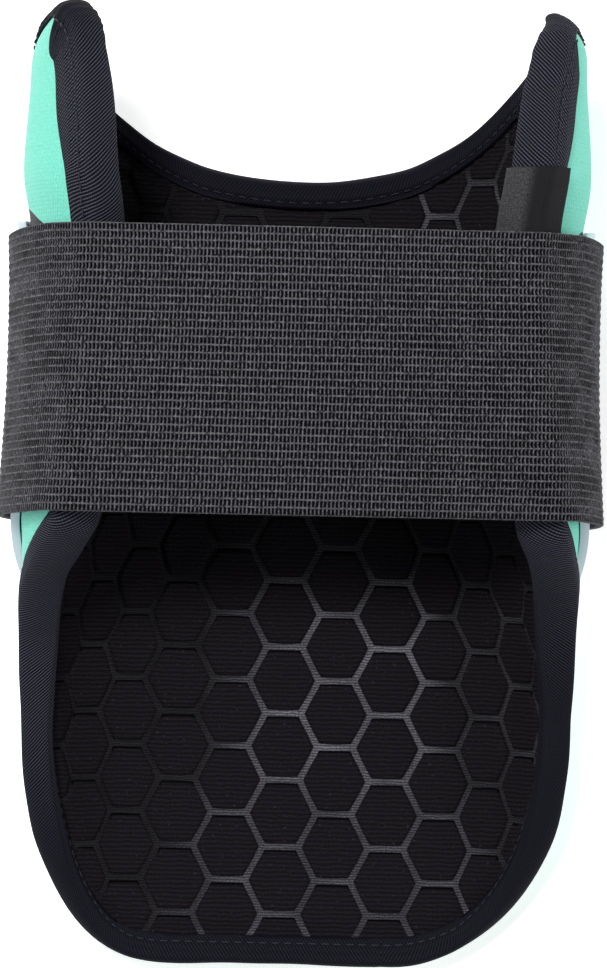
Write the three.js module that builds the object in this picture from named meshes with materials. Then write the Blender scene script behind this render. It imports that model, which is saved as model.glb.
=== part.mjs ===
// Batter's elbow guard, lying on its outer plate with the strap side up.
// Millimetres, +Z up: +Y runs up the arm to the wings, +Z from the outer plate to the strap.
// The wall is drawn as a flat pattern (s across, y along) that is bent round the arm:
// a flat floor with one arc on each side, so every piece is a function of s, y and a distance out.
import * as THREE from "three";

// Layers of the wall, measured outward from the outer face of the cover
const COVER_THICK = 2;
const LAYER_GAP = 0.3;
const PLATE_GAP = 1;
const PLATE_OUT = 3;
const STRAP_GAP = 0.4;
const STRAP_THICK = 1.8;

// Outline of the flat pattern
const TONGUE_END_Y = -109.8;
const TONGUE_FLAT = 25;
const TONGUE_CORNER_Y = -53;
const TONGUE_ROUND = 2.3;
const TONGUE_LEAN = -4;
const SCOOP_Y = 68.1;
const SCOOP_REACH_LEFT = 80;
const SCOOP_REACH_RIGHT = 72;
const SCOOP_POWER = 2.1;
const WING_Y = 105.5;
const WING_BLEND = 4;
const WING_CORNER = 9;
const WING_CORNER_WIDTH = 15;

// Edge binding: tape folded over the rim, with a flap on each side
const TAPE_THICK = 1.2;
const TAPE_GAP = 0.6;
const TAPE_ROLL = 0.8;
const TAPE_FLAP_OUT = 4.4;
const TAPE_FLAP_IN = 4.2;

// Hexagonal pads of the lining
const HEX_COLUMN = 12.3;
const HEX_PITCH = 15.6;
const HEX_CENTRE_S = 9.3;
const HEX_CENTRE_Y = -38.3;
const HEX_GROOVE = 2.2;
const HEX_RAISE = 0.9;
const HEX_MARGIN = 7.4;
const LINER_MARGIN = 6;

// Shield-shaped outer plate
const PLATE_TOP_Y = 58.5;
const PLATE_SIDE_Y = -5;
const PLATE_TIP_Y = -80;
const PLATE_TIP_INSET = 1.5;
const PLATE_HALF = 96;
const PLATE_CORNER = 13;

// Strap, the hook tab at its end, and the label
const STRAP_WIDTH = 63.5;
const STRAP_LOW_Y = -7;
const STRAP_END_TURN = 42;
const STRAP_BEND = 5.5;
const STRAP_DROOP = 2.7;
const STRAP_FLARE = 1;
const HOOK_TAB_LENGTH = 15;
const LABEL_TOP_Y = 69.5;
const LABEL_LENGTH = 34;
const LABEL_THICK = 0.8;
const LABEL_GAP = 0.55;
const LABEL_FLAP_IN = 8.6;

// The plate's flat underside lies at height 0, and both ends of the wall lift off that level
const TONGUE_LIFT_FROM_Y = -50;
const TONGUE_LIFT = 5;
const SCOOP_LIFT_FROM_Y = 50;
const SCOOP_LIFT = 3;

// Mesh steps
const ACROSS = 22;
const ALONG = 24;
const PLATE_ACROSS = 24;
const PLATE_ALONG = 18;
const PLATE_ROW_BIAS = 0.3;
const STRAP_ROWS = 4;
const HOOK_TAB_STEPS = 2;
const LABEL_STEPS = 8;
const FLANK_STEPS = 9;
const BEND_STEPS = 4;
const FRONT_STEPS = 8;
const ROLL_STEPS = 4;
const CURVE_STEPS = 60;

// Cross-sections along the arm: half-width of the flat floor, arc radius of the flanks, padding
const SECTIONS = [
  { y: -112, floor: 38, radius: 24, pad: 1.2 },
  { y: -80, floor: 38, radius: 24, pad: 1.2 },
  { y: -49, floor: 36, radius: 26.4, pad: 1.4 },
  { y: -26, floor: 27.5, radius: 34.5, pad: 4 },
  { y: -13, floor: 21.5, radius: 40.8, pad: 5.6 },
  { y: -7, floor: 20, radius: 42.4, pad: 6.2 },
  { y: 25, floor: 20.5, radius: 41.2, pad: 6.5 },
  { y: 55, floor: 23.4, radius: 38.9, pad: 6.3 },
  { y: 70, floor: 24, radius: 40.2, pad: 5.8 },
  { y: 88, floor: 24, radius: 39.1, pad: 3.8 },
  { y: 98, floor: 24, radius: 38.6, pad: 3.1 },
  { y: 107, floor: 24, radius: 36.5, pad: 2.6 },
];

// How far each flank turns up from the floor, in degrees, where the rim runs along the arm.
// The left wing curls in more than the right one.
const RIM_TURNS = [
  { y: -53, left: 77, right: 77 },
  { y: -49, left: 78, right: 78 },
  { y: -36, left: 84, right: 82 },
  { y: -28, left: 94, right: 88 },
  { y: -22, left: 105, right: 97 },
  { y: -15, left: 119, right: 109 },
  { y: -7, left: 130, right: 119 },
  { y: 25, left: 138, right: 130 },
  { y: 57, left: 142.5, right: 135 },
  { y: 75, left: 142, right: 133.5 },
  { y: 87, left: 139, right: 130 },
  { y: 95, left: 136, right: 125 },
  { y: 107, left: 130, right: 118 },
];

const { clamp, degToRad, lerp } = THREE.MathUtils;

// Reads a named column of a table at y, as a smooth curve through its rows.
function readColumn(table, name, y) {
  const last = table.length - 1;
  const at = clamp(y, table[0].y, table[last].y);
  const i = Math.min(last - 1, table.findLastIndex((row) => row.y <= at));
  const slope = (k) => {
    const before = table[Math.max(0, k - 1)];
    const after = table[Math.min(last, k + 1)];
    return (after[name] - before[name]) / (after.y - before.y);
  };
  const span = table[i + 1].y - table[i].y;
  const t = (at - table[i].y) / span;
  const step = table[i + 1][name] - table[i][name];
  const bow = (1 - t) * (slope(i) * span - step) + t * (step - slope(i + 1) * span);
  return table[i][name] + t * step + t * (1 - t) * bow;
}

function floorAt(y) {
  return readColumn(SECTIONS, "floor", y);
}

function radiusAt(y) {
  return readColumn(SECTIONS, "radius", y);
}

function rimTurnAt(y, side) {
  return degToRad(readColumn(RIM_TURNS, side < 0 ? "left" : "right", y));
}

// Height of the cover's outer face along the middle of the floor.
function liftAt(y) {
  const tongue = Math.max(0, (TONGUE_LIFT_FROM_Y - y) / (TONGUE_LIFT_FROM_Y - TONGUE_END_Y));
  const scoop = Math.max(0, (y - SCOOP_LIFT_FROM_Y) / (WING_Y - SCOOP_LIFT_FROM_Y));
  return PLATE_OUT + TONGUE_LIFT * tongue ** 2 + SCOOP_LIFT * scoop ** 2;
}

// Where the inner face of the lining lies, below its pads.
function linerOut(y) {
  return -(COVER_THICK + LAYER_GAP + readColumn(SECTIONS, "pad", y));
}

// Distance across the pattern at which the flank has turned up by an angle.
function acrossAtTurn(y, turn) {
  return floorAt(y) + radiusAt(y) * turn;
}

// The point of the bent wall at s, y of the pattern, at a distance out from the cover's outer face.
function wallPoint(s, y, out) {
  const radius = radiusAt(y);
  const floor = floorAt(y);
  const turn = Math.max(0, Math.abs(s) - floor) / radius;
  const x = Math.min(Math.abs(s), floor) + (radius + out) * Math.sin(turn);
  const z = liftAt(y) + radius - (radius + out) * Math.cos(turn);
  return new THREE.Vector3(Math.sign(s) * x, y, z);
}

// Outline of the pattern, as curves of points (s, y)

// Rounded lower corner: share 0 is where the flank's rim ends, 1 where the straight end begins.
// The end leans a little to one side.
function tongueCorner(side, from, to) {
  const startTurn = rimTurnAt(TONGUE_CORNER_Y, side);
  const startX = floorAt(TONGUE_CORNER_Y) + radiusAt(TONGUE_CORNER_Y) * Math.sin(startTurn);
  const power = 2 / TONGUE_ROUND;
  return Array.from({ length: CURVE_STEPS + 1 }, (_, i) => {
    const angle = (lerp(from, to, i / CURVE_STEPS) * Math.PI) / 2;
    const x = TONGUE_FLAT + (startX - TONGUE_FLAT) * Math.max(0, Math.cos(angle)) ** power;
    const y = TONGUE_CORNER_Y + (TONGUE_END_Y - TONGUE_CORNER_Y) * Math.sin(angle) ** power;
    const leaned = x + side * TONGUE_LEAN * Math.sin(angle) ** 4;
    const flank = Math.max(0, leaned - floorAt(y));
    const s = leaned - flank + radiusAt(y) * Math.asin(flank / radiusAt(y));
    return new THREE.Vector2(side * s, y);
  });
}

// Height of the top edge, which rises from the scoop in the middle to the wings.
function scoopY(s, side) {
  const reach = side < 0 ? SCOOP_REACH_LEFT : SCOOP_REACH_RIGHT;
  const rise = (Math.abs(s) / reach) ** SCOOP_POWER;
  return lerp(SCOOP_Y, WING_Y, rise / (1 + rise ** WING_BLEND) ** (1 / WING_BLEND));
}

// Rounded upper corner of a wing: share 0 is at the flank's rim, 1 at the top edge.
function wingCorner(side, from, to) {
  const startY = WING_Y - WING_CORNER;
  return Array.from({ length: CURVE_STEPS + 1 }, (_, i) => {
    const angle = (lerp(from, to, i / CURVE_STEPS) * Math.PI) / 2;
    const rimY = startY + WING_CORNER * Math.sin(angle);
    const s = acrossAtTurn(rimY, rimTurnAt(rimY, side)) - WING_CORNER_WIDTH * (1 - Math.cos(angle));
    return new THREE.Vector2(side * s, lerp(startY, scoopY(s, side), Math.sin(angle)));
  });
}

// One side, from the middle of its lower corner to the middle of its wing corner.
function sideCurve(side) {
  const rim = [];
  for (let i = 1; i < CURVE_STEPS; i++) {
    const y = lerp(TONGUE_CORNER_Y, WING_Y - WING_CORNER, i / CURVE_STEPS);
    rim.push(new THREE.Vector2(side * acrossAtTurn(y, rimTurnAt(y, side)), y));
  }
  return [...tongueCorner(side, 0.5, 0), ...rim, ...wingCorner(side, 0, 0.5)];
}

function bottomCurve() {
  return [...tongueCorner(-1, 0.5, 1), ...tongueCorner(1, 1, 0.5)];
}

function topCurve() {
  const left = wingCorner(-1, 0.5, 1);
  const right = wingCorner(1, 1, 0.5);
  const start = left[left.length - 1].x;
  const end = right[0].x;
  const scoop = [];
  for (let i = 1 - CURVE_STEPS; i < CURVE_STEPS; i++) {
    const s = (Math.abs(i) / CURVE_STEPS) * (i < 0 ? start : end);
    scoop.push(new THREE.Vector2(s, scoopY(s, i)));
  }
  return [...left, ...scoop, ...right];
}

// Points at equal steps along a line of points.
function resample(points, steps) {
  const lengths = [0];
  for (let i = 1; i < points.length; i++) {
    lengths.push(lengths[i - 1] + points[i].distanceTo(points[i - 1]));
  }
  const total = lengths[lengths.length - 1];
  return Array.from({ length: steps + 1 }, (_, k) => {
    const want = (total * k) / steps;
    const found = lengths.findIndex((length) => length >= want);
    const i = clamp(found < 0 ? points.length - 1 : found, 1, points.length - 1);
    const share = (want - lengths[i - 1]) / (lengths[i] - lengths[i - 1] || 1);
    return points[i - 1].clone().lerp(points[i], share);
  });
}

// Rows of points (s, y) that fill the outline, each from the left side to the right.
function patternGrid() {
  const left = resample(sideCurve(-1), ALONG);
  const right = resample(sideCurve(1), ALONG);
  const bottom = resample(bottomCurve(), ACROSS);
  const top = resample(topCurve(), ACROSS);
  const blend = (name, i, j) => {
    const u = i / ACROSS;
    const v = j / ALONG;
    const upward = lerp(bottom[i][name], top[i][name], v);
    const sideways = lerp(left[j][name], right[j][name], u);
    const low = lerp(left[0][name], right[0][name], u);
    const high = lerp(left[ALONG][name], right[ALONG][name], u);
    return upward + sideways - lerp(low, high, v);
  };
  return Array.from({ length: ALONG + 1 }, (_, j) =>
    Array.from({ length: ACROSS + 1 }, (_, i) => new THREE.Vector2(blend("x", i, j), blend("y", i, j))),
  );
}

// The border of rows as one loop, anticlockwise in s and y.
function borderOf(rows) {
  const last = rows.length - 1;
  const end = rows[0].length - 1;
  return [
    ...rows[0].slice(0, end),
    ...rows.slice(0, last).map((row) => row[end]),
    ...rows[last].slice(1).reverse(),
    ...rows.slice(1).map((row) => row[0]).reverse(),
  ];
}

// The outline as stations: a point of the pattern and the direction that leads out of it.
function rimStations(rows) {
  const loop = borderOf(rows);
  return loop.map((point, k) => {
    const before = loop[(k + loop.length - 1) % loop.length];
    const after = loop[(k + 1) % loop.length];
    const along = after.clone().sub(before).normalize();
    return { point, away: new THREE.Vector2(along.y, -along.x) };
  });
}

// A point of the pattern past the rim by a distance, or in from it if that is negative.
function pastRim(station, distance) {
  return station.point.clone().addScaledVector(station.away, distance);
}

// Solids are gathered as points and triangles

class Solid {
  constructor() {
    this.points = [];
    this.triangles = [];
  }

  add(point) {
    this.points.push(point);
    return this.points.length - 1;
  }

  // Two triangles, split along the shorter diagonal.
  quad(a, b, c, d) {
    const length = (i, j) => this.points[i].distanceTo(this.points[j]);
    if (length(a, c) < length(b, d)) this.triangles.push([a, b, c], [a, c, d]);
    else this.triangles.push([b, c, d], [b, d, a]);
  }

  // Joins rows of point numbers by quads. They look into the wall's hollow, unless turned.
  sheet(rows, isTurned = false) {
    for (let j = 0; j + 1 < rows.length; j++) {
      for (let i = 0; i + 1 < rows[j].length; i++) {
        const corners = [rows[j][i], rows[j][i + 1], rows[j + 1][i + 1], rows[j + 1][i]];
        this.quad(...(isTurned ? corners.reverse() : corners));
      }
    }
  }

  // Closes the edge between the loop of the inner face and that of the outer face.
  closeEdge(innerLoop, outerLoop) {
    innerLoop.forEach((a, k) => {
      const next = (k + 1) % innerLoop.length;
      this.quad(a, outerLoop[k], outerLoop[next], innerLoop[next]);
    });
  }

  geometry() {
    const geometry = new THREE.BufferGeometry().setFromPoints(this.points);
    geometry.setIndex(this.triangles.flat());
    geometry.computeVertexNormals();
    return geometry;
  }
}

// A band between two faces whose points are laid out in the same rows.
function bandSolid(innerRows, outerRows) {
  const solid = new Solid();
  const inner = innerRows.map((row) => row.map((p) => solid.add(p)));
  const outer = outerRows.map((row) => row.map((p) => solid.add(p)));
  solid.sheet(inner);
  solid.sheet(outer, true);
  solid.closeEdge(borderOf(inner), borderOf(outer));
  return solid;
}

// A wall between two distances from the cover's outer face, over rows of pattern points.
function wallSolid(rows, innerOut, outerOut) {
  const face = (out) => rows.map((row) => row.map((p) => wallPoint(p.x, p.y, out)));
  return bandSolid(face(innerOut), face(outerOut));
}

// Lining with raised hexagonal pads

function isInside(outline, p) {
  let inside = false;
  outline.forEach((a, k) => {
    const b = outline[(k + 1) % outline.length];
    const crosses = a.y > p.y !== b.y > p.y;
    if (crosses && p.x < a.x + ((b.x - a.x) * (p.y - a.y)) / (b.y - a.y)) inside = !inside;
  });
  return inside;
}

function distanceToLoop(loop, p) {
  const distances = loop.map((a, k) => {
    const along = loop[(k + 1) % loop.length].clone().sub(a);
    const share = clamp(p.clone().sub(a).dot(along) / along.lengthSq(), 0, 1);
    return a.clone().addScaledVector(along, share).distanceTo(p);
  });
  return Math.min(...distances);
}

function hexCorners(centre) {
  const halfWidth = HEX_COLUMN / 1.5;
  return [0, 1, 2, 3, 4, 5].map((k) => {
    const angle = (k * Math.PI) / 3;
    const high = (Math.sin(angle) / Math.sin(Math.PI / 3)) * (HEX_PITCH / 2);
    return new THREE.Vector2(centre.x + halfWidth * Math.cos(angle), centre.y + high);
  });
}

// The cells of the hexagonal pattern that lie clear of the rim.
function hexCells(rim) {
  const outline = rim.map((station) => station.point);
  const isClear = (p) => isInside(outline, p) && distanceToLoop(outline, p) > HEX_MARGIN;
  const columns = Math.ceil(Math.max(...outline.map((p) => p.x)) / HEX_COLUMN);
  const rows = Math.ceil((WING_Y - TONGUE_END_Y) / HEX_PITCH);
  const cells = [];
  for (let i = -columns; i <= columns; i++) {
    for (let j = -rows; j <= rows; j++) {
      const stagger = (Math.abs(i) % 2) / 2;
      const centre = new THREE.Vector2(
        HEX_CENTRE_S + i * HEX_COLUMN,
        HEX_CENTRE_Y + (j + stagger) * HEX_PITCH,
      );
      const corners = hexCorners(centre);
      if (corners.every(isClear)) cells.push({ centre, corners });
    }
  }
  return cells;
}

// Loops round the outside of anticlockwise cells, along the edges that only one cell has.
function outerLoops(cells) {
  const edges = new Map();
  for (const cell of cells) {
    cell.forEach((a, k) => {
      const b = cell[(k + 1) % cell.length];
      edges.set(`${a},${b}`, [a, b]);
    });
  }
  const next = new Map();
  for (const [a, b] of edges.values()) {
    if (!edges.has(`${b},${a}`)) next.set(a, b);
  }
  const loops = [];
  while (next.size) {
    const loop = [];
    let at = next.keys().next().value;
    while (next.has(at)) {
      const to = next.get(at);
      next.delete(at);
      loop.push(at);
      at = to;
    }
    loops.push(loop);
  }
  return loops;
}

// Swaps the shared edge of neighbouring triangles wherever that leaves them less stretched.
function evenOut(triangles, flat) {
  const angleAt = (corner, a, b) => {
    const toA = flat[a].clone().sub(flat[corner]);
    const toB = flat[b].clone().sub(flat[corner]);
    return Math.acos(clamp(toA.normalize().dot(toB.normalize()), -1, 1));
  };
  const swapOne = () => {
    const owners = new Map();
    triangles.forEach(([a, b, c], n) => {
      owners.set(`${a},${b}`, [n, c]).set(`${b},${c}`, [n, a]).set(`${c},${a}`, [n, b]);
    });
    for (const [edge, [n, c]] of owners) {
      const [a, b] = edge.split(",").map(Number);
      const [m, d] = owners.get(`${b},${a}`) ?? [];
      if (d === undefined || angleAt(c, a, b) + angleAt(d, a, b) < Math.PI + 1e-6) continue;
      triangles[n] = [a, d, c];
      triangles[m] = [d, b, c];
      return true;
    }
    return false;
  };
  while (swapOne());
  return triangles;
}

// Pads inside a plain margin on the front, and a smooth back against the cover.
function linerSolid(rows, rim) {
  const solid = new Solid();
  const flat = [];
  const addFront = (p, raise) => {
    flat.push(p);
    return solid.add(wallPoint(p.x, p.y, linerOut(p.y) - raise));
  };
  const insets = [0, TAPE_FLAP_IN + LAYER_GAP, LINER_MARGIN];
  const rings = insets.map((inset) => rim.map((station) => addFront(pastRim(station, -inset), 0)));
  rings[0].forEach((_, k) => {
    const next = (k + 1) % rim.length;
    for (let i = 1; i < rings.length; i++) {
      solid.quad(rings[i - 1][k], rings[i - 1][next], rings[i][next], rings[i][k]);
    }
  });
  const [edge, , margin] = rings;

  const shared = new Map();
  const sharedCorner = (p) => {
    const key = `${p.x.toFixed(2)},${p.y.toFixed(2)}`;
    if (!shared.has(key)) shared.set(key, addFront(p, 0));
    return shared.get(key);
  };
  const topShare = 1 - HEX_GROOVE / HEX_PITCH;
  const cells = hexCells(rim).map(({ centre, corners }) => {
    const low = corners.map(sharedCorner);
    const high = corners.map((p) => addFront(centre.clone().lerp(p, topShare), HEX_RAISE));
    low.forEach((a, k) => solid.quad(a, low[(k + 1) % 6], high[(k + 1) % 6], high[k]));
    for (let k = 1; k < 5; k++) solid.triangles.push([high[0], high[k], high[k + 1]]);
    return low;
  });

  const loops = outerLoops(cells);
  const numbers = [margin, ...loops].flat();
  const [contour, ...holes] = [margin, ...loops].map((loop) => loop.map((n) => flat[n]));
  const border = THREE.ShapeUtils.triangulateShape(contour, holes);
  solid.triangles.push(...evenOut(border.map((face) => face.map((k) => numbers[k])), flat));

  const backOut = -(COVER_THICK + LAYER_GAP);
  const back = rows.map((row) => row.map((p) => solid.add(wallPoint(p.x, p.y, backOut))));
  solid.sheet(back, true);
  solid.closeEdge(edge, borderOf(back));
  return solid;
}

// One face of a fold over the rim at y, from outside to inside: points (past the rim, out).
// The face lies at a distance from the wall, and bulges where it rolls over the rim.
function foldFace(y, distance, bulge) {
  const inside = linerOut(y);
  const middle = inside / 2;
  return Array.from({ length: ROLL_STEPS + 1 }, (_, k) => {
    const angle = Math.PI * (0.5 - k / ROLL_STEPS);
    const past = TAPE_GAP + bulge * Math.max(0, Math.cos(angle));
    return new THREE.Vector2(past, middle + (distance - middle) * Math.sin(angle));
  });
}

// Closed section of tape folded over the rim at y.
function foldSection(y, { gap, thick, bulge, flapOut, flapIn }) {
  const inside = linerOut(y);
  return [
    new THREE.Vector2(-flapOut, gap),
    new THREE.Vector2(-flapOut, gap + thick),
    ...foldFace(y, gap + thick, bulge + thick),
    new THREE.Vector2(-flapIn, inside - gap - thick),
    new THREE.Vector2(-flapIn, inside - gap),
    ...foldFace(y, gap, bulge).reverse(),
  ];
}

// Sweeps the folded tape along stations of the rim, as a ring or with two ends.
function foldedTape(stations, tape) {
  const solid = new Solid();
  const rings = stations.map((station) =>
    foldSection(station.point.y, tape).map((q) => {
      const p = pastRim(station, q.x);
      return solid.add(wallPoint(p.x, p.y, q.y));
    }),
  );
  const steps = tape.isRing ? rings.length : rings.length - 1;
  for (let k = 0; k < steps; k++) {
    const ring = rings[k];
    const next = rings[(k + 1) % rings.length];
    ring.forEach((a, i) => {
      const j = (i + 1) % ring.length;
      solid.quad(a, next[i], next[j], ring[j]);
    });
  }
  if (!tape.isRing) {
    const cap = THREE.ShapeUtils.triangulateShape(foldSection(stations[0].point.y, tape), []);
    const first = rings[0];
    const last = rings[steps];
    for (const [a, b, c] of cap) {
      solid.triangles.push([first[a], first[c], first[b]], [last[a], last[b], last[c]]);
    }
  }
  return solid;
}

function bindingSolid(rim) {
  return foldedTape(rim, {
    gap: TAPE_GAP,
    thick: TAPE_THICK,
    bulge: TAPE_ROLL,
    flapOut: TAPE_FLAP_OUT,
    flapIn: TAPE_FLAP_IN,
    isRing: true,
  });
}

// The label is a short fold round the binding of the right wing, partly under the strap.
function labelSolid() {
  const stations = Array.from({ length: LABEL_STEPS + 1 }, (_, k) => {
    const y = LABEL_TOP_Y - LABEL_LENGTH * (1 - k / LABEL_STEPS);
    return { point: new THREE.Vector2(acrossAtTurn(y, rimTurnAt(y, 1)), y), away: new THREE.Vector2(1, 0) };
  });
  return foldedTape(stations, {
    gap: TAPE_GAP + TAPE_THICK + LABEL_GAP,
    thick: LABEL_THICK,
    bulge: TAPE_ROLL + TAPE_THICK + LABEL_GAP,
    flapOut: TAPE_FLAP_OUT,
    flapIn: LABEL_FLAP_IN,
    isRing: false,
  });
}

// Rows of the shield plate: full width beside the strap, then tapering to the tip.
// They lie closer towards the rounded top corners.
function plateRows() {
  const halfAt = (y) => {
    const drop = Math.max(0, (PLATE_SIDE_Y - y) / (PLATE_SIDE_Y - PLATE_TIP_Y));
    const rise = Math.max(0, (y - PLATE_TOP_Y + PLATE_CORNER) / PLATE_CORNER);
    const corner = PLATE_CORNER * (1 - Math.sqrt(1 - rise ** 2));
    return PLATE_HALF * (1 - drop) - corner;
  };
  return Array.from({ length: PLATE_ALONG + 1 }, (_, j) => {
    const t = j / PLATE_ALONG;
    const share = t + PLATE_ROW_BIAS * t * (1 - t);
    const y = lerp(PLATE_TIP_Y + PLATE_TIP_INSET, PLATE_TOP_Y, share);
    return Array.from({ length: PLATE_ACROSS + 1 }, (_, i) => {
      return new THREE.Vector2(halfAt(y) * (2 * (i / PLATE_ACROSS) - 1), y);
    });
  });
}

// How far the strap has slipped down the arm, where the flank has turned up by an angle.
function strapDroop(turn, side) {
  const rimTurn = rimTurnAt(STRAP_LOW_Y, side);
  return STRAP_DROOP * (rimTurn - Math.min(turn, rimTurn));
}

// How far the strap's lower edge stands off the flank, most of all where the flank is upright.
function strapFlare(y, turn) {
  const fade = 1 - (y - STRAP_LOW_Y) / STRAP_WIDTH;
  return STRAP_FLARE * fade ** 3 * Math.max(0, Math.sin(turn)) ** 2;
}

// Half of the taut strap's line at y: up the flank from its end, then over the rim to the level.
function strapHalf(side, y, out) {
  const rimTurn = rimTurnAt(y, side);
  const points = [];
  for (let k = 0; k <= FLANK_STEPS; k++) {
    const turn = lerp(degToRad(STRAP_END_TURN), rimTurn, k / FLANK_STEPS);
    const flankY = y - strapDroop(turn, side);
    points.push(wallPoint(side * acrossAtTurn(flankY, turn), flankY, out + strapFlare(y, turn)));
  }
  const bend = STRAP_BEND + out - PLATE_OUT - STRAP_GAP;
  const centre = wallPoint(side * acrossAtTurn(y, rimTurn), y, out + strapFlare(y, rimTurn) - bend);
  for (let k = 1; k <= BEND_STEPS; k++) {
    const turn = lerp(rimTurn, Math.PI, k / BEND_STEPS);
    const outward = new THREE.Vector3(side * Math.sin(turn), 0, -Math.cos(turn));
    points.push(centre.clone().addScaledVector(outward, bend));
  }
  return points;
}

function strapLine(y, out) {
  const right = strapHalf(1, y, out);
  const left = strapHalf(-1, y, out).reverse();
  const front = [];
  for (let k = 1; k < FRONT_STEPS; k++) {
    front.push(right[right.length - 1].clone().lerp(left[0], k / FRONT_STEPS));
  }
  return [...right, ...front, ...left];
}

function strapRowYs() {
  return Array.from({ length: STRAP_ROWS + 1 }, (_, j) => STRAP_LOW_Y + (STRAP_WIDTH * j) / STRAP_ROWS);
}

function strapSolid() {
  const inner = PLATE_OUT + STRAP_GAP;
  const face = (out) => strapRowYs().map((y) => strapLine(y, out));
  return bandSolid(face(inner), face(inner + STRAP_THICK));
}

// The hook tab carries on down the right flank from the strap's end.
function hookTabSolid() {
  const inner = PLATE_OUT + STRAP_GAP;
  const rows = strapRowYs().map((strapY) => {
    const y = strapY - strapDroop(degToRad(STRAP_END_TURN), 1);
    const end = acrossAtTurn(y, degToRad(STRAP_END_TURN)) - LAYER_GAP;
    return Array.from({ length: HOOK_TAB_STEPS + 1 }, (_, i) => {
      return new THREE.Vector2(end - HOOK_TAB_LENGTH * (1 - i / HOOK_TAB_STEPS), y);
    });
  });
  return wallSolid(rows, inner, inner + STRAP_THICK);
}

function matte(color, roughness) {
  return new THREE.MeshStandardMaterial({ color, roughness, metalness: 0 });
}

const mintMesh = matte(0x7fe3cb, 0.85);
const blackTricot = matte(0x0d0c0e, 0.95);
const navyTwill = matte(0x14161e, 0.8);
const palePlastic = matte(0xd8dbe8, 0.5);
const charcoalElastic = matte(0x2b2b30, 0.85);
const blackHook = matte(0x161618, 0.9);
const wovenLabel = matte(0x232327, 0.7);

const pattern = patternGrid();
const rim = rimStations(pattern);
const guard = new THREE.Group();

function addPiece(name, solid, material) {
  const mesh = new THREE.Mesh(solid.geometry(), material);
  mesh.name = name;
  guard.add(mesh);
}

addPiece("cover", wallSolid(pattern, -COVER_THICK, 0), mintMesh);
addPiece("liner", linerSolid(pattern, rim), blackTricot);
addPiece("edge_binding", bindingSolid(rim), navyTwill);
addPiece("outer_plate", wallSolid(plateRows(), PLATE_GAP, PLATE_OUT), palePlastic);
addPiece("strap", strapSolid(), charcoalElastic);
addPiece("hook_tab", hookTabSolid(), blackHook);
addPiece("label_tab", labelSolid(), wovenLabel);

// The origin is under the middle of the guard
const topY = Math.max(...topCurve().map((p) => p.y));
guard.position.y = -(TONGUE_END_Y + topY) / 2;

export default guard;
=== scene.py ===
"""Looks of the batter's elbow guard: fine cloth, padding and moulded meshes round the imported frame.

Lengths are millimetres of the guard's own pattern (s across, y along) until a mesh is made.
"""

import math

import bpy
import numpy as np
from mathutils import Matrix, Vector


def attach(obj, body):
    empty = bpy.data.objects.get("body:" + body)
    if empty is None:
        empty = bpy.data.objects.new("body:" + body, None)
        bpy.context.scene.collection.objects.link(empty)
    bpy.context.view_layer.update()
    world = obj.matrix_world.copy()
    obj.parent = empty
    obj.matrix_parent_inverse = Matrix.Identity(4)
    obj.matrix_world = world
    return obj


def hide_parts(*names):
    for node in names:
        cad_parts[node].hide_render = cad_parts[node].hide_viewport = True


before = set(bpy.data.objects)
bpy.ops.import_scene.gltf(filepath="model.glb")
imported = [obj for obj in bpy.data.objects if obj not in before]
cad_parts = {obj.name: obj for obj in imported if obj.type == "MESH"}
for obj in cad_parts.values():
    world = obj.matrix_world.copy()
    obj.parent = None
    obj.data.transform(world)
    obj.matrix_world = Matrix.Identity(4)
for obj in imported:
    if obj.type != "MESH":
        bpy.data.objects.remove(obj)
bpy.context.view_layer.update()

MM = 0.001

# Layers of the wall, measured outward from the outer face of the cover
COVER_THICK = 2.0
LAYER_GAP = 0.3
PLATE_GAP = 1.0
PLATE_OUT = 3.0
STRAP_GAP = 0.4
STRAP_THICK = 1.8

# Outline of the flat pattern
TONGUE_END_Y = -109.8
TONGUE_FLAT = 25.0
TONGUE_CORNER_Y = -53.0
TONGUE_ROUND = 2.3
TONGUE_LEAN = -4.0
SCOOP_Y = 68.1
SCOOP_REACH_LEFT = 80.0
SCOOP_REACH_RIGHT = 72.0
SCOOP_POWER = 2.1
WING_Y = 105.5
WING_BLEND = 4.0
WING_CORNER = 9.0
WING_CORNER_WIDTH = 15.0

# Edge binding
TAPE_THICK = 1.2
TAPE_GAP = 0.6
TAPE_ROLL = 0.8
TAPE_FLAP_OUT = 4.4
TAPE_FLAP_IN = 4.2

# Hexagonal pads
HEX_COLUMN = 12.3
HEX_PITCH = 15.6
HEX_CENTRE_S = 9.3
HEX_CENTRE_Y = -38.3
HEX_COLUMNS = range(-12, 13)
HEX_ROWS = range(-9, 12)

# Outer plate
PLATE_TOP_Y = 58.5
PLATE_SIDE_Y = -5.0
PLATE_TIP_Y = -80.0
PLATE_TIP_INSET = 1.5
PLATE_HALF = 96.0
PLATE_CORNER = 13.0

# Strap, hook tab and label
STRAP_WIDTH = 63.5
STRAP_LOW_Y = -7.0
STRAP_END_TURN = 42.0
STRAP_BEND = 5.5
STRAP_DROOP = 2.7
STRAP_FLARE = 1.0
CORD_PITCH = 0.87
RIB_COUNT = 36
RIB_PITCH = STRAP_WIDTH / RIB_COUNT
HOOK_TAB_LENGTH = 15.0
HOOK_PITCH = 1.4
HOOK_HEIGHT = 0.12
LABEL_TOP_Y = 71.0
LABEL_LENGTH = 34.0
LABEL_THICK = 0.8
LABEL_GAP = 0.55
LABEL_FLAP_IN = 8.6

# Lift of the wall's two ends
TONGUE_LIFT_FROM_Y = -50.0
TONGUE_LIFT = 5.0
SCOOP_LIFT_FROM_Y = 50.0
SCOOP_LIFT = 3.0

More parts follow.
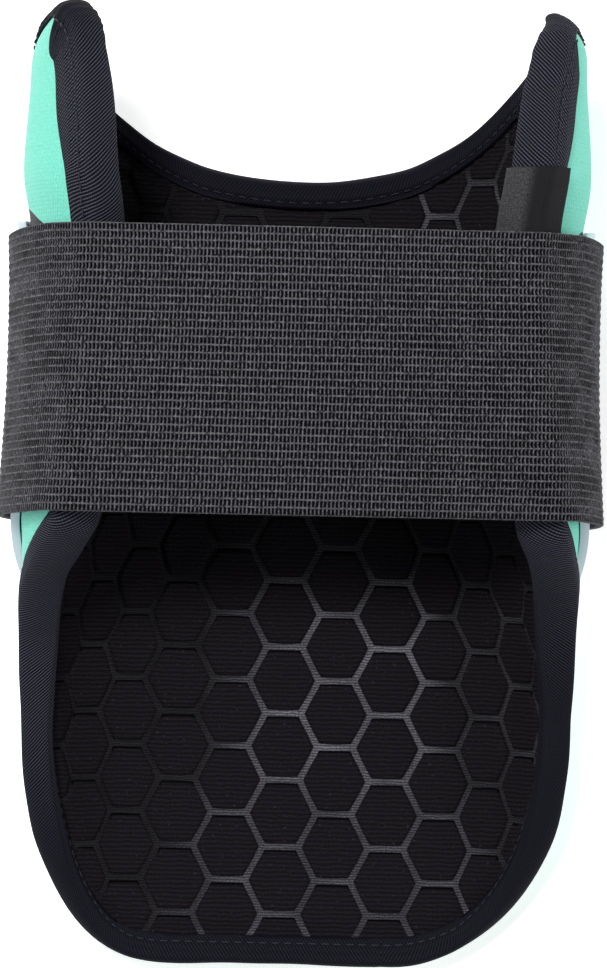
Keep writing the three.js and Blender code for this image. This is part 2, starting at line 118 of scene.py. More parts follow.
# Wing tips: drawn in by the tape, lifted a little, and the right one rounded off inside
TIP_LEAN_LEFT = 4.2
TIP_LEAN_RIGHT = 3.4
TIP_LEAN_FROM_LEFT = 92.0
TIP_LEAN_FROM_RIGHT = 97.0
TIP_LEAN_GROWS = (45, 75)
TIP_LEAN_FADES = (90, 108)
TIP_ROUND = 2.4
TIP_ROUND_FROM_S = 60.0
TIP_ROUND_FROM_Y = 95.0
TIP_ROUND_DEPTH = 6.0
TIP_ROUND_LIMIT = 1.3
TIP_RISE_LEFT = 1.0
TIP_RISE_RIGHT = 0.6
TIP_RISE_GROWS = (50, 80)
TIP_RISE_LENGTH = 20.0

# Cross-sections along the arm: half-width of the flat floor, arc radius of the flanks, padding
SECTIONS = {
    "y": [-112, -80, -49, -26, -13, -7, 25, 55, 70, 88, 98, 107],
    "floor": [38, 38, 36, 27.5, 21.5, 20, 20.5, 23.4, 24, 24, 24, 24],
    "radius": [24, 24, 26.4, 34.5, 40.8, 42.4, 41.2, 38.9, 40.2, 39.1, 38.6, 36.5],
    "pad": [1.2, 1.2, 1.4, 4, 5.6, 6.2, 6.5, 6.3, 5.8, 3.8, 3.1, 2.6],
}

# How far each flank turns up from the floor, in degrees, where the rim runs along the arm
RIM_TURNS = {
    "y": [-53, -49, -36, -28, -22, -15, -7, 25, 57, 75, 87, 95, 107],
    "left": [77, 78, 84, 94, 105, 119, 130, 138, 142.5, 142, 139, 136, 130],
    "right": [77, 78, 82, 88, 97, 109, 119, 130, 135, 133.5, 130, 125, 118],
}


# The wall as a function of the pattern

def read_column(table, name, y):
    """A named column of a table at y, as a smooth curve through its rows."""
    ys, values = np.array(table["y"], float), np.array(table[name], float)
    last = len(ys) - 1
    after, before = np.minimum(np.arange(last + 1) + 1, last), np.maximum(np.arange(last + 1) - 1, 0)
    slopes = (values[after] - values[before]) / (ys[after] - ys[before])
    at = np.clip(y, ys[0], ys[last])
    i = np.clip(np.searchsorted(ys, at, side="right") - 1, 0, last - 1)
    span, step = ys[i + 1] - ys[i], values[i + 1] - values[i]
    t = (at - ys[i]) / span
    bow = (1 - t) * (slopes[i] * span - step) + t * (step - slopes[i + 1] * span)
    return values[i] + t * step + t * (1 - t) * bow


def smoothstep(x, low, high):
    t = np.clip((x - low) / (high - low), 0, 1)
    return t * t * (3 - 2 * t)


def floor_at(y):
    return read_column(SECTIONS, "floor", y)


def radius_at(y):
    return read_column(SECTIONS, "radius", y)


def rim_turn_at(y, side):
    return np.radians(read_column(RIM_TURNS, "left" if side < 0 else "right", y))


def lift_at(y):
    """Height of the cover's outer face along the middle of the floor."""
    tongue = np.maximum(0, (TONGUE_LIFT_FROM_Y - y) / (TONGUE_LIFT_FROM_Y - TONGUE_END_Y))
    scoop = np.maximum(0, (y - SCOOP_LIFT_FROM_Y) / (WING_Y - SCOOP_LIFT_FROM_Y))
    return PLATE_OUT + TONGUE_LIFT * tongue**2 + SCOOP_LIFT * scoop**2


def liner_out(y):
    """Where the inner face of the lining lies, below its pads."""
    return -(COVER_THICK + LAYER_GAP + read_column(SECTIONS, "pad", y))


def across_at_turn(y, turn):
    """Distance across the pattern to where a flank has turned up by an angle."""
    return floor_at(y) + radius_at(y) * turn


def tip_lean(s, y):
    """How far the tape draws the outer side of a wing's tip inward."""
    reach = np.abs(s)
    is_flank = smoothstep(reach, *TIP_LEAN_GROWS) * (1 - smoothstep(reach, *TIP_LEAN_FADES))
    lean = np.where(s < 0, TIP_LEAN_LEFT, TIP_LEAN_RIGHT)
    start = np.where(s < 0, TIP_LEAN_FROM_LEFT, TIP_LEAN_FROM_RIGHT)
    return lean * is_flank * np.clip((y - start) / (WING_Y - start), 0, 1) ** 2


def tip_round(s, y, out):
    """How far the inner side of the right wing's tip is rounded off."""
    depth = np.where(s > TIP_ROUND_FROM_S, np.clip(-out / TIP_ROUND_DEPTH, 0, TIP_ROUND_LIMIT), 0)
    return TIP_ROUND * depth * np.clip((y - TIP_ROUND_FROM_Y) / (WING_Y - TIP_ROUND_FROM_Y), 0, 1) ** 2


def wall_point(s, y, out):
    """Points of the bent wall at s, y of the pattern, at a distance out from the cover's outer face."""
    s, y, out = np.broadcast_arrays(np.asarray(s, float), np.asarray(y, float), np.asarray(out, float))
    radius, floor = radius_at(y), floor_at(y)
    turn = np.maximum(0, np.abs(s) - floor) / radius
    x = np.minimum(np.abs(s), floor) + (radius + out) * np.sin(turn) - tip_lean(s, y) + tip_round(s, y, out)
    z = lift_at(y) + radius - (radius + out) * np.cos(turn)
    rise = np.where(s < 0, TIP_RISE_LEFT, TIP_RISE_RIGHT) * smoothstep(np.abs(s), *TIP_RISE_GROWS)
    rise = rise * smoothstep(y, WING_Y - TIP_RISE_LENGTH, WING_Y)
    return np.stack([np.sign(s) * x, y + rise, z], -1)


# Outline of the pattern

def tongue_corner(side, start, end, steps=120):
    """Rounded lower corner: share 0 is where the flank's rim ends, 1 where the straight end begins."""
    turn = rim_turn_at(TONGUE_CORNER_Y, side)
    start_x = floor_at(TONGUE_CORNER_Y) + radius_at(TONGUE_CORNER_Y) * np.sin(turn)
    power = 2 / TONGUE_ROUND
    angle = np.linspace(start, end, steps + 1) * np.pi / 2
    x = TONGUE_FLAT + (start_x - TONGUE_FLAT) * np.maximum(0, np.cos(angle)) ** power
    y = TONGUE_CORNER_Y + (TONGUE_END_Y - TONGUE_CORNER_Y) * np.sin(angle) ** power
    x = x + side * TONGUE_LEAN * np.sin(angle) ** 4
    flank = np.maximum(0, x - floor_at(y))
    s = x - flank + radius_at(y) * np.arcsin(flank / radius_at(y))
    return np.stack([side * s, y], -1)


def scoop_y(s, side):
    """Height of the top edge, which rises from the scoop in the middle to the wings."""
    rise = (np.abs(s) / (SCOOP_REACH_LEFT if side < 0 else SCOOP_REACH_RIGHT)) ** SCOOP_POWER
    return SCOOP_Y + (WING_Y - SCOOP_Y) * rise / (1 + rise**WING_BLEND) ** (1 / WING_BLEND)


def wing_corner(side, start, end, steps=60):
    """Rounded upper corner of a wing: share 0 is at the flank's rim, 1 at the top edge."""
    start_y = WING_Y - WING_CORNER
    angle = np.linspace(start, end, steps + 1) * np.pi / 2
    y = start_y + WING_CORNER * np.sin(angle)
    s = across_at_turn(y, rim_turn_at(y, side)) - WING_CORNER_WIDTH * (1 - np.cos(angle))
    return np.stack([side * s, start_y + (scoop_y(s, side) - start_y) * np.sin(angle)], -1)


def side_curve(side, steps=160):
    """One side of the outline, from the middle of the tongue's corner to the middle of the wing's."""
    y = np.linspace(TONGUE_CORNER_Y, WING_Y - WING_CORNER, steps + 1)[1:-1]
    rim = np.stack([side * across_at_turn(y, rim_turn_at(y, side)), y], -1)
    return np.concatenate([tongue_corner(side, 0.5, 0), rim, wing_corner(side, 0, 0.5)])


def bottom_curve():
    """The tongue's end, from the middle of its left corner to the middle of its right one."""
    return np.concatenate([tongue_corner(-1, 0.5, 1), tongue_corner(1, 1, 0.5)])


def top_curve(steps=120):
    """The scoop between the wings, from the middle of the left corner to the middle of the right one."""
    left, right = wing_corner(-1, 0.5, 1), wing_corner(1, 1, 0.5)
    low, high = np.linspace(left[-1, 0], 0, steps + 1)[1:], np.linspace(0, right[0, 0], steps + 1)[1:-1]
    scoop = [np.stack([low, scoop_y(low, -1)], -1), np.stack([high, scoop_y(high, 1)], -1)]
    return np.concatenate([left, *scoop, right])


# Middle of the guard, which the frame's origin lies under
GUARD_Y = -(TONGUE_END_Y + top_curve()[:, 1].max()) / 2


def resample(points, steps):
    """Points at equal steps along a line of points."""
    lengths = np.concatenate([[0], np.cumsum(np.linalg.norm(np.diff(points, axis=0), axis=1))])
    want = np.linspace(0, lengths[-1], steps + 1)
    return np.stack([np.interp(want, lengths, points[:, k]) for k in range(points.shape[1])], -1)


def pattern_grid(across, along):
    """Rows of points (s, y) that fill the outline, each from the left side to the right."""
    left, right = resample(side_curve(-1), along), resample(side_curve(1), along)
    bottom, top = resample(bottom_curve(), across), resample(top_curve(), across)
    u = np.linspace(0, 1, across + 1)[None, :, None]
    v = np.linspace(0, 1, along + 1)[:, None, None]
    upward = bottom[None] * (1 - v) + top[None] * v
    sideways = left[:, None] * (1 - u) + right[:, None] * u
    low = left[0] * (1 - u) + right[0] * u
    high = left[-1] * (1 - u) + right[-1] * u
    return upward + sideways - (low * (1 - v) + high * v)


RIM_STEP = 1.0


def rim_line():
    """The outline as a closed ring of stations: points, directions out of the pattern, distances along."""
    bottom = bottom_curve()
    loop = np.concatenate([bottom, side_curve(1), top_curve()[::-1], side_curve(-1)[::-1]])
    loop = np.roll(loop, -np.argmin(np.abs(bottom[:, 0])), axis=0)
    loop = np.concatenate([loop, loop[:1]])
    length = np.linalg.norm(np.diff(loop, axis=0), axis=1).sum()
    steps = int(round(length / RIM_STEP))
    points = resample(loop, steps)[:-1]
    along = np.roll(points, -2, axis=0) - np.roll(points, 2, axis=0)
    along /= np.linalg.norm(along, axis=1, keepdims=True)
    away = np.stack([along[:, 1], -along[:, 0]], -1)
    return points, away, np.arange(steps) * length / steps, length


RIM_POINTS, RIM_AWAY, RIM_AT, RIM_LENGTH = rim_line()


def rim_at(distance):
    """Point and outward direction of the rim at distances along it."""
    at = np.concatenate([RIM_AT, [RIM_LENGTH]])
    values = np.concatenate([RIM_POINTS, RIM_AWAY], 1)
    values = np.concatenate([values, values[:1]])
    found = np.stack([np.interp(np.mod(distance, RIM_LENGTH), at, values[:, k]) for k in range(4)], -1)
    return found[..., :2], found[..., 2:]


def from_rim(p, batch=4000):
    """How far points of the pattern lie inside the rim, measured in batches."""
    found = np.empty(len(p))
    for start in range(0, len(p), batch):
        part = p[start:start + batch]
        near = ((part[:, None] - RIM_POINTS[None]) ** 2).sum(-1).argmin(1)
        found[start:start + batch] = -((part - RIM_POINTS[near]) * RIM_AWAY[near]).sum(1)
    return found


# Meshes

class Cloth:
    """A mesh as it is gathered: points and faces, with pattern coordinates at the faces' corners."""

    def __init__(self):
        self.points, self.faces, self.corners, self.count = [], [], [], 0

    def add(self, points):
        """Adds points and returns their numbers, in the same layout."""
        numbers = self.count + np.arange(points[..., 0].size).reshape(points.shape[:-1])
        self.points.append(points.reshape(-1, 3))
        self.count += numbers.size
        return numbers

    def face(self, numbers, corners):
        """Adds faces: rows of point numbers, and a pattern coordinate for each."""
        self.faces.append(numbers)
        self.corners.append(corners)

    def quads(self, numbers, pattern, is_turned=False):
        """Quads over a grid of point numbers with pattern coordinates of the same layout."""
        corners = [np.s_[:-1, :-1], np.s_[:-1, 1:], np.s_[1:, 1:], np.s_[1:, :-1]]
        if is_turned:
            corners = corners[::-1]
        self.face(
            np.stack([numbers[c] for c in corners], -1).reshape(-1, 4),
            np.stack([pattern[c] for c in corners], -2).reshape(-1, 4, 2),
        )

    def caps(self, numbers):
        """Closes both ends of a tube: rings of point numbers, each an even count."""
        half = numbers.shape[1] // 2
        for end, is_turned in ((0, True), (-1, False)):
            ladder = np.stack([numbers[end, :half], numbers[end, ::-1][:half]], -1)
            self.quads(ladder, np.zeros((half, 2, 2)), is_turned)

    def piece(self, name, material, node, slot, attributes=None):
        """Makes the Blender object, in metres in the frame, riding on the one body."""
        points = (np.concatenate(self.points) + [0, GUARD_Y, 0]) * MM
        mesh = bpy.data.meshes.new(name)
        faces = [f.tolist() for f in self.faces]
        mesh.from_pydata(points.tolist(), [], [f for group in faces for f in group])
        layer = mesh.uv_layers.new(name="pattern")
        layer.data.foreach_set("uv", np.concatenate([c.reshape(-1, 2) for c in self.corners]).ravel())
        for key, values in (attributes or {}).items():
            mesh.attributes.new(key, "FLOAT", "POINT").data.foreach_set("value", values)
        mesh.polygons.foreach_set("use_smooth", [True] * len(mesh.polygons))
        mesh.materials.append(material)
        mesh.validate()
        piece = bpy.data.objects.new(name, mesh)
        bpy.context.scene.collection.objects.link(piece)
        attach(piece, "root")
        if node:
            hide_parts(node)
        return piece


def border(grid):
    """The border of a grid as one loop, anticlockwise."""
    return np.concatenate([grid[0, :-1], grid[:-1, -1], grid[-1, :0:-1], grid[:0:-1, 0]])


def shell(inner, outer, pattern):
    """A closed sheet between two grids of points."""
    cloth = Cloth()
    low, high = cloth.add(inner), cloth.add(outer)
    cloth.quads(low, pattern)
    cloth.quads(high, pattern, True)
    a, b, p = border(low), border(high), border(pattern)
    numbers = np.stack([a, b, np.roll(b, -1), np.roll(a, -1)], -1)
    after = np.roll(p, -1, axis=0)
    cloth.face(numbers, np.stack([p, p, after, after], 1))
    return cloth


def swept(sections, us, vs, is_ring):
    """A closed tube through sections (n, m, 3), each a ring of points; capped unless it is a ring itself."""
    cloth = Cloth()
    numbers = cloth.add(sections)
    closed = np.concatenate([numbers, numbers[:, :1]], 1)
    if is_ring:
        closed = np.concatenate([closed, closed[:1]])
    pattern = np.stack(np.broadcast_arrays(us[:, None], vs[None, :]), -1)
    cloth.quads(closed, pattern, True)
    if not is_ring:
        cloth.caps(numbers)
    return cloth


# Materials

class Material:
    """A procedural material; values that are the same all over are set on the shader."""

    def __init__(self, name, **sockets):
        self.data = bpy.data.materials.new(name)
        self.data.use_nodes = True
        self.tree = self.data.node_tree
        self.shader = self.tree.nodes["Principled BSDF"]
        for socket, value in sockets.items():
            self.shader.inputs[socket.replace("_", " ")].default_value = value

    def node(self, kind, inputs=None, **settings):
        node = self.tree.nodes.new(kind)
        for key, value in settings.items():
            setattr(node, key, value)
        for key, value in (inputs or {}).items():
            self.put(value, node.inputs[key])
        return node

    def put(self, value, socket):
        if isinstance(value, bpy.types.NodeSocket):
            self.tree.links.new(value, socket)
        elif value is not None:
            socket.default_value = value

    def math(self, operation, *values):
        return self.node("ShaderNodeMath", dict(enumerate(values)), operation=operation).outputs[0]

    def total(self, *values):
        found = values[0]
        for value in values[1:]:
            found = self.math("ADD", found, value)
        return found

    def scaled(self, value, by, plus=0.0):
        return self.math("MULTIPLY_ADD", value, by, plus)

    def smooth(self, value, low, high):
        node = self.node("ShaderNodeMapRange", {"Value": value, "From Min": low, "From Max": high},
                         interpolation_type="SMOOTHSTEP")
        return node.outputs[0]

    def mix(self, share, a, b):
        node = self.node("ShaderNodeMix", data_type="RGBA")
        for key, value in (("Factor_Float", share), ("A_Color", a), ("B_Color", b)):
            self.put(value, next(i for i in node.inputs if i.identifier == key))
        return next(o for o in node.outputs if o.identifier == "Result_Color")

    def pattern(self):
        """Coordinates s and y of the cloth's pattern, in millimetres."""
        uv = self.node("ShaderNodeUVMap", uv_map="pattern").outputs[0]
        parts = self.node("ShaderNodeSeparateXYZ", {0: uv})
        return uv, parts.outputs[0], parts.outputs[1]

    def noise(self, at, size, detail=2.0):
        """Noise from 0 to 1 with spots of about a size, in the units of the coordinates."""
        node = self.node("ShaderNodeTexNoise", {"Vector": at, "Scale": 1 / size, "Detail": detail})
        return node.outputs["Fac"]

    def wave(self, value, pitch):
        """A sine from 0 to 1 of a coordinate."""
        turn = self.scaled(value, 2 * math.pi / pitch)
        return self.scaled(self.math("SINE", turn), 0.5, 0.5)

    def away(self, value, pitch):
        """Distance from the nearest line of a set, as a share of their pitch: 0 on a line, 0.5 between."""
        share = self.math("FRACT", self.math("DIVIDE", value, pitch))
        return self.math("MINIMUM", share, self.math("SUBTRACT", 1.0, share))

    def finish(self, colour, height=None, roughness=None):
        """Links the colour, a height in millimetres and the roughness."""
        self.put(colour, self.shader.inputs["Base Color"])
        self.put(roughness, self.shader.inputs["Roughness"])
        if height is not None:
            bump = self.node("ShaderNodeBump", {"Height": height, "Distance": MM, "Strength": 1.0})
            self.put(bump.outputs[0], self.shader.inputs["Normal"])
        return self.data


def rgb(red, green, blue):
    """A colour from 0 to 255 as Blender keeps it."""
    parts = np.array([red, green, blue]) / 255
    linear = np.where(parts <= 0.04045, parts / 12.92, ((parts + 0.055) / 1.055) ** 2.4)
    return (*linear, 1.0)


# Painted shade that shows on the cover beside the plate, in the strap's band on each flank
DARK_LOW_Y = -4.0
DARK_BELOW_TOP = 2.4
DARK_RISE = 4.6
DARK_RISE_REACH = (107.0, 90.0)
DARK_DROP_RIGHT = 2.5
DARK_REACH = 60.0


def mint_material():
    """Knitted mint mesh, with painted shade where it ends beside the plate."""
    m = Material("mint_mesh", Specular_IOR_Level=0.25, Sheen_Weight=0.1, Sheen_Roughness=0.5)
    uv, s, y = m.pattern()
    warp = m.scaled(m.noise(uv, 6.0), 1.6)
    one = m.wave(m.total(s, m.scaled(y, 0.6), warp), 1.05)
    other = m.wave(m.total(s, m.scaled(y, -0.6), warp), 1.05)
    knit = m.math("MULTIPLY", one, other)
    spots = m.noise(uv, 0.7, 3.0)
    soft = m.noise(uv, 14.0)
    tone = m.total(m.scaled(knit, 0.3), m.scaled(spots, 0.9, -0.1))
    light = m.mix(tone, rgb(92, 200, 176), rgb(148, 240, 220))
    light = m.mix(m.scaled(soft, 0.3), light, rgb(110, 216, 194))
    reach = m.math("ABSOLUTE", s)
    edge = m.scaled(m.math("GREATER_THAN", s, 0.0), -DARK_DROP_RIGHT, PLATE_TOP_Y - DARK_BELOW_TOP)
    top = m.total(edge, m.scaled(m.smooth(reach, *DARK_RISE_REACH), DARK_RISE))
    is_under = m.math("MULTIPLY", m.math("LESS_THAN", y, top), m.math("GREATER_THAN", y, DARK_LOW_Y))
    is_side = m.math("GREATER_THAN", reach, DARK_REACH)
    # Painted shade: dark navy where the cover meets the plate within the strap's band
    colour = m.mix(m.math("MULTIPLY", is_under, is_side), light, rgb(22, 25, 36))
    height = m.total(m.scaled(knit, 0.10), m.scaled(spots, 0.10))
    return m.finish(colour, height, m.scaled(spots, 0.15, 0.7))


def tricot_material():
    """Black brushed tricot, ribbed across; the grooves between the pads show lighter rungs, with painted
    light and shade laid over them and painted shade in the creases.
    """
    m = Material("black_tricot", Specular_IOR_Level=0.02)
    uv, s, y = m.pattern()
    groove = m.node("ShaderNodeAttribute", attribute_name="groove").outputs["Fac"]
    crease_and_painted_shade = m.node("ShaderNodeAttribute", attribute_name="crease_and_painted_shade").outputs["Fac"]
    wander = m.scaled(m.noise(uv, 4.0), 0.8)
    rungs = m.wave(m.total(y, wander), 0.62)
    ribs = m.wave(m.total(y, wander), 1.05)
    fuzz = m.noise(uv, 0.45, 3.0)
    patches = m.noise(uv, 16.0)
    lint = m.smooth(m.noise(uv, 0.8, 1.0), 0.67, 0.76)
    pads = m.mix(m.math("MULTIPLY", m.scaled(ribs, 0.6, 0.4), fuzz), rgb(9, 8, 10), rgb(44, 40, 46))
    pads = m.mix(m.scaled(lint, 0.4), pads, rgb(64, 61, 67))

    # Painted light and shade: the lines are drawn light in the middle of the tongue, and faintly behind the
    # right wing, and dimmed to either side and low down
    low = m.smooth(y, -55.0, -88.0)
    left = m.smooth(m.total(s, m.scaled(low, 12.0)), -24.0, -2.0)
    right = m.scaled(m.smooth(m.total(s, m.scaled(low, -16.0)), 27.0, 37.0), -0.85, 1.0)
    painted_light = m.math("MULTIPLY", m.math("MULTIPLY", left, right), m.scaled(low, -0.5, 1.0))
    # Painted shadow of the strap: the lines are dimmed below its lower edge
    painted_light = m.math("MULTIPLY", painted_light, m.scaled(m.smooth(y, -34.0, -16.0), -0.8, 1.0))
    top = m.smooth(y, 40.0, 55.0)
    top_painted_light = m.math("MULTIPLY", top, m.scaled(m.smooth(s, 16.0, 30.0), 0.6))
    top_painted_light = m.math("MULTIPLY", top_painted_light, m.scaled(m.smooth(y, 64.0, 74.0), -0.85, 1.0))
    painted_light = m.total(m.math("MULTIPLY", painted_light, m.scaled(top, -1.0, 1.0)), top_painted_light)

    rung = m.math("MULTIPLY", m.scaled(rungs, 0.7, 0.3), m.scaled(fuzz, 2.2, -0.3))
    shine = m.math("MULTIPLY", rung, m.scaled(patches, 1.3, 0.1))
    lines = m.mix(m.math("MULTIPLY", shine, m.scaled(painted_light, 0.9, 0.1)), rgb(17, 16, 19), rgb(128, 126, 134))
    colour = m.mix(m.smooth(groove, 0.25, 0.8), pads, lines)
    # Painted shade: the creases along the pads' upper edges are darkened to near black
    colour = m.mix(m.scaled(m.smooth(crease_and_painted_shade, 0.2, 0.7), 0.9), colour, rgb(3, 3, 4))
    height = m.total(m.scaled(ribs, 0.10), m.scaled(fuzz, 0.12))
    return m.finish(colour, height, m.scaled(fuzz, 0.1, 0.85))


# Where the tape's stretches with a faint weave end, along the rim from the middle of the tongue and of the
# scoop
SMOOTH_FROM_TONGUE = (80.0, 150.0)
SMOOTH_FROM_SCOOP = (86.0, 106.0)


def twill_material():
    """Dark navy twill tape: light threads along diagonal ribs, faint at both ends."""
    m = Material("navy_twill", Specular_IOR_Level=0.04)
    uv, along, over = m.pattern()
    slow = m.scaled(m.noise(uv, 12.0), 0.9)
    diagonal = m.total(m.scaled(along, 0.8), m.scaled(over, -0.6), slow)
    ribs = m.wave(diagonal, 0.66)
    thread = m.wave(m.total(m.scaled(along, 0.6), m.scaled(over, 0.8)), 0.62)
    speck = m.noise(uv, 0.4, 3.0)
    cross = m.scaled(m.math("MULTIPLY", thread, speck), 1.3, 0.4)
    weave = m.math("MULTIPLY", m.smooth(ribs, 0.45, 1.0), cross)
    from_tongue = m.smooth(along, *SMOOTH_FROM_TONGUE)
    from_scoop = m.smooth(along, *(RIM_LENGTH / 2 - distance for distance in SMOOTH_FROM_SCOOP))
    weave_shows = m.scaled(m.math("MULTIPLY", from_tongue, from_scoop), 0.85, 0.15)
    nap = m.mix(speck, rgb(5, 5, 9), rgb(26, 26, 35))
    colour = m.mix(m.math("MULTIPLY", weave, weave_shows), nap, rgb(88, 90, 103))
    height = m.total(m.scaled(m.math("MULTIPLY", ribs, weave_shows), 0.14), m.scaled(speck, 0.05))
    return m.finish(colour, height, m.scaled(speck, 0.15, 0.65))


def elastic_material():
    """Woven elastic: upright cords, bound by a thread at each rib, with painted shade making the gaps between
    them near black.
    """
    m = Material("charcoal_elastic", Specular_IOR_Level=0.04, Sheen_Weight=0.06, Sheen_Roughness=0.4)
    uv, along, over = m.pattern()
    sway = m.scaled(m.noise(uv, 6.0), 0.5, -0.25)
    cord = m.away(m.total(along, sway), CORD_PITCH)
    rib = m.away(m.total(over, m.scaled(sway, 0.5)), RIB_PITCH)
    gap = m.smooth(cord, 0.12, 0.29)
    bare = m.smooth(rib, 0.06, 0.18)
    hole = m.math("MULTIPLY", gap, bare)
    bead = m.noise(uv, 0.75, 2.0)
    fine = m.noise(uv, 0.25, 2.0)
    tone = m.total(m.scaled(bead, 1.8, -0.5), m.scaled(fine, 0.5, -0.25))
    thread = m.mix(tone, rgb(30, 30, 34), rgb(127, 126, 133))
    # Painted shade: the gaps between the cords are coloured near black
    colour = m.mix(m.scaled(hole, 0.98), thread, rgb(2, 2, 3))
    height = m.total(m.scaled(hole, -0.4), m.scaled(bead, 0.12), m.scaled(m.smooth(cord, 0.5, 0.0), 0.16))
    return m.finish(colour, height, m.scaled(fine, 0.15, 0.65))


def plastic_material():
    """Pale lavender plastic with a fine moulded grain."""
    m = Material("pale_plastic", Coat_Weight=0.15, Coat_Roughness=0.3)
    uv, _, _ = m.pattern()
    grain = m.noise(uv, 0.6, 3.0)
    cloud = m.noise(uv, 30.0)
    colour = m.mix(cloud, rgb(214, 219, 236), rgb(228, 231, 243))
    return m.finish(colour, m.scaled(grain, 0.02), m.scaled(grain, 0.12, 0.34))


def hook_material():
    """Black hook tape: rows of small hooks on a woven ground."""
    m = Material("black_hook", Specular_IOR_Level=0.2)
    uv, s, y = m.pattern()
    rows = m.math("MULTIPLY", m.wave(s, HOOK_PITCH), m.wave(y, HOOK_PITCH))
    fuzz = m.noise(uv, 0.5, 3.0)
    colour = m.mix(m.math("MULTIPLY", rows, fuzz), rgb(16, 16, 18), rgb(62, 62, 66))
    return m.finish(colour, m.total(m.scaled(rows, 0.4), m.scaled(fuzz, 0.1)), m.scaled(fuzz, 0.2, 0.6))


def label_material():
    """Blank woven label: a speckled grey face towards the arm, darker towards the outside."""
    m = Material("woven_label", Specular_IOR_Level=0.15)
    uv, along, over = m.pattern()
    speck = m.noise(uv, 0.55, 3.0)
    weave = m.math("MULTIPLY", m.wave(along, 0.5), m.wave(over, 0.5))
    tone = m.total(m.scaled(speck, 1.3, -0.35), m.scaled(weave, 0.2))
    face = m.mix(tone, rgb(24, 24, 26), rgb(98, 98, 101))
    dark = m.mix(speck, rgb(14, 14, 16), rgb(34, 34, 37))
    colour = m.mix(m.smooth(over, 9.0, 13.0), dark, face)
    return m.finish(colour, m.total(m.scaled(weave, 0.06), m.scaled(speck, 0.08)), m.scaled(speck, 0.1, 0.7))


def thread_material():
    """Dark sewing thread, twisted."""
    m = Material("sewing_thread", Specular_IOR_Level=0.2)
    _, along, over = m.pattern()
    twist = m.wave(m.total(along, m.scaled(over, 0.4)), 0.35)
    colour = m.mix(twist, rgb(20, 20, 28), rgb(58, 59, 70))
    return m.finish(colour, m.scaled(twist, 0.05), m.scaled(twist, 0.1, 0.5))


# Mint cover and pale plate

COVER_STEPS = 110
COVER_PUFF = 0.6
PUFF_INSET = (2, 6)
PUFF_END = 6.0
PLATE_ROWS = 121
PLATE_COLUMNS = 141
PLATE_CROWDING = 0.35
PLATE_BEVEL = 0.8
PLATE_BEVEL_ANGLE = 50.0


def make_cover():
    """Mint cloth, softly uneven and a little puffed under the plate."""
    pattern = pattern_grid(COVER_STEPS, COVER_STEPS)
    s, y = pattern[..., 0], pattern[..., 1]
    soft = 0.10 * np.sin(s / 5.3 + 1.0) * np.sin(y / 6.1) + 0.08 * np.sin(s / 2.9 - y / 3.7)
    inset = from_rim(pattern.reshape(-1, 2)).reshape(s.shape)
    is_low = 1 - smoothstep(y, PLATE_TOP_Y - PUFF_END, PLATE_TOP_Y)
    puff = COVER_PUFF * smoothstep(inset, *PUFF_INSET) * is_low
    cloth = shell(wall_point(s, y, -COVER_THICK), wall_point(s, y, soft + puff), pattern)
    piece = cloth.piece("cover_cloth", mint_material(), "cover", "mint_mesh")


def plate_half(y):
    """Half of the plate's width at y: a shield that narrows to its tip, with rounded upper corners."""
    drop = np.maximum(0, (PLATE_SIDE_Y - y) / (PLATE_SIDE_Y - PLATE_TIP_Y))
    rise = np.maximum(0, (y - PLATE_TOP_Y + PLATE_CORNER) / PLATE_CORNER)
    corner = PLATE_CORNER * (1 - np.sqrt(np.maximum(0, 1 - rise**2)))
    return PLATE_HALF * (1 - drop) - corner


def make_plate():
    """Moulded shield that follows the outside of the wall."""
    t = np.linspace(0, 1, PLATE_ROWS)
    share = t + PLATE_CROWDING * t * (1 - t)
    low_y = PLATE_TIP_Y + PLATE_TIP_INSET
    y = (low_y + (PLATE_TOP_Y - low_y) * share)[:, None]
    s = plate_half(y) * np.linspace(-1, 1, PLATE_COLUMNS)[None, :]
    y = np.broadcast_to(y, s.shape)
    pattern = np.stack([s, y], -1)
    cloth = shell(wall_point(s, y, PLATE_GAP), wall_point(s, y, PLATE_OUT), pattern)
    piece = cloth.piece("plate_shell", plastic_material(), "outer_plate", "pale_plastic")
    bevel = piece.modifiers.new("rounded edge", "BEVEL")
    bevel.width = PLATE_BEVEL * MM
    bevel.segments = 3
    bevel.angle_limit = math.radians(PLATE_BEVEL_ANGLE)


# Padded lining

HEX_RINGS = [0, 0.28, 0.54, 0.74, 0.83, 0.875, 0.915, 0.955, 1.0]
PAD_RAISE = 0.9
PAD_CROWN = 0.35
PAD_EDGE = (0.86, 0.925)
PAD_CORNER = 0.02
GROOVE_EDGE = (0.875, 0.94)
CREASE_SHARE = 0.885
CREASE_WIDTH = 0.03
CREASE_DEPTH = 0.3
CREASE_UP = (0.72, 0.95)
LINER_EDGE = 0.4
PADS_FROM_TAPE = (0.6, 2.4)
SEAM_STARTS = (-0.6, 0.4)
SEAM_ENDS = (0.8, 2.2)
SEAM_DEPTH = 0.9
SEAM_SHARE = 0.45


def hex_cell():
    """One pad as rings round its centre: points, their share of the way out, and triangles."""
    corners = np.array([
        [math.cos(k * math.pi / 3) * HEX_COLUMN / 1.5,
         math.sin(k * math.pi / 3) / math.sin(math.pi / 3) * HEX_PITCH / 2]
        for k in range(7)
    ])
    points, shares, starts = [np.zeros(2)], [0.0], [0]
    for r, share in enumerate(HEX_RINGS[1:], 1):
        starts.append(len(points))
        for k in range(6):
            for j in range(r):
                points.append(share * (corners[k] + (corners[k + 1] - corners[k]) * j / r))
                shares.append(share)

    def on_ring(r, n):
        """Number of the n-th point of ring r, counted round it."""
        return starts[r] + (n % (6 * r) if r else 0)

    triangles = []
    for r in range(1, len(HEX_RINGS)):
        for k in range(6):
            for j in range(r):
                outer, inner = k * r + j, k * (r - 1) + j
                after = on_ring(r, outer + 1)
                triangles.append([on_ring(r, outer), after, on_ring(r - 1, inner)])
                if j + 1 < r:
                    triangles.append([after, on_ring(r - 1, inner + 1), on_ring(r - 1, inner)])
    return np.array(points), np.array(shares), np.array(triangles)


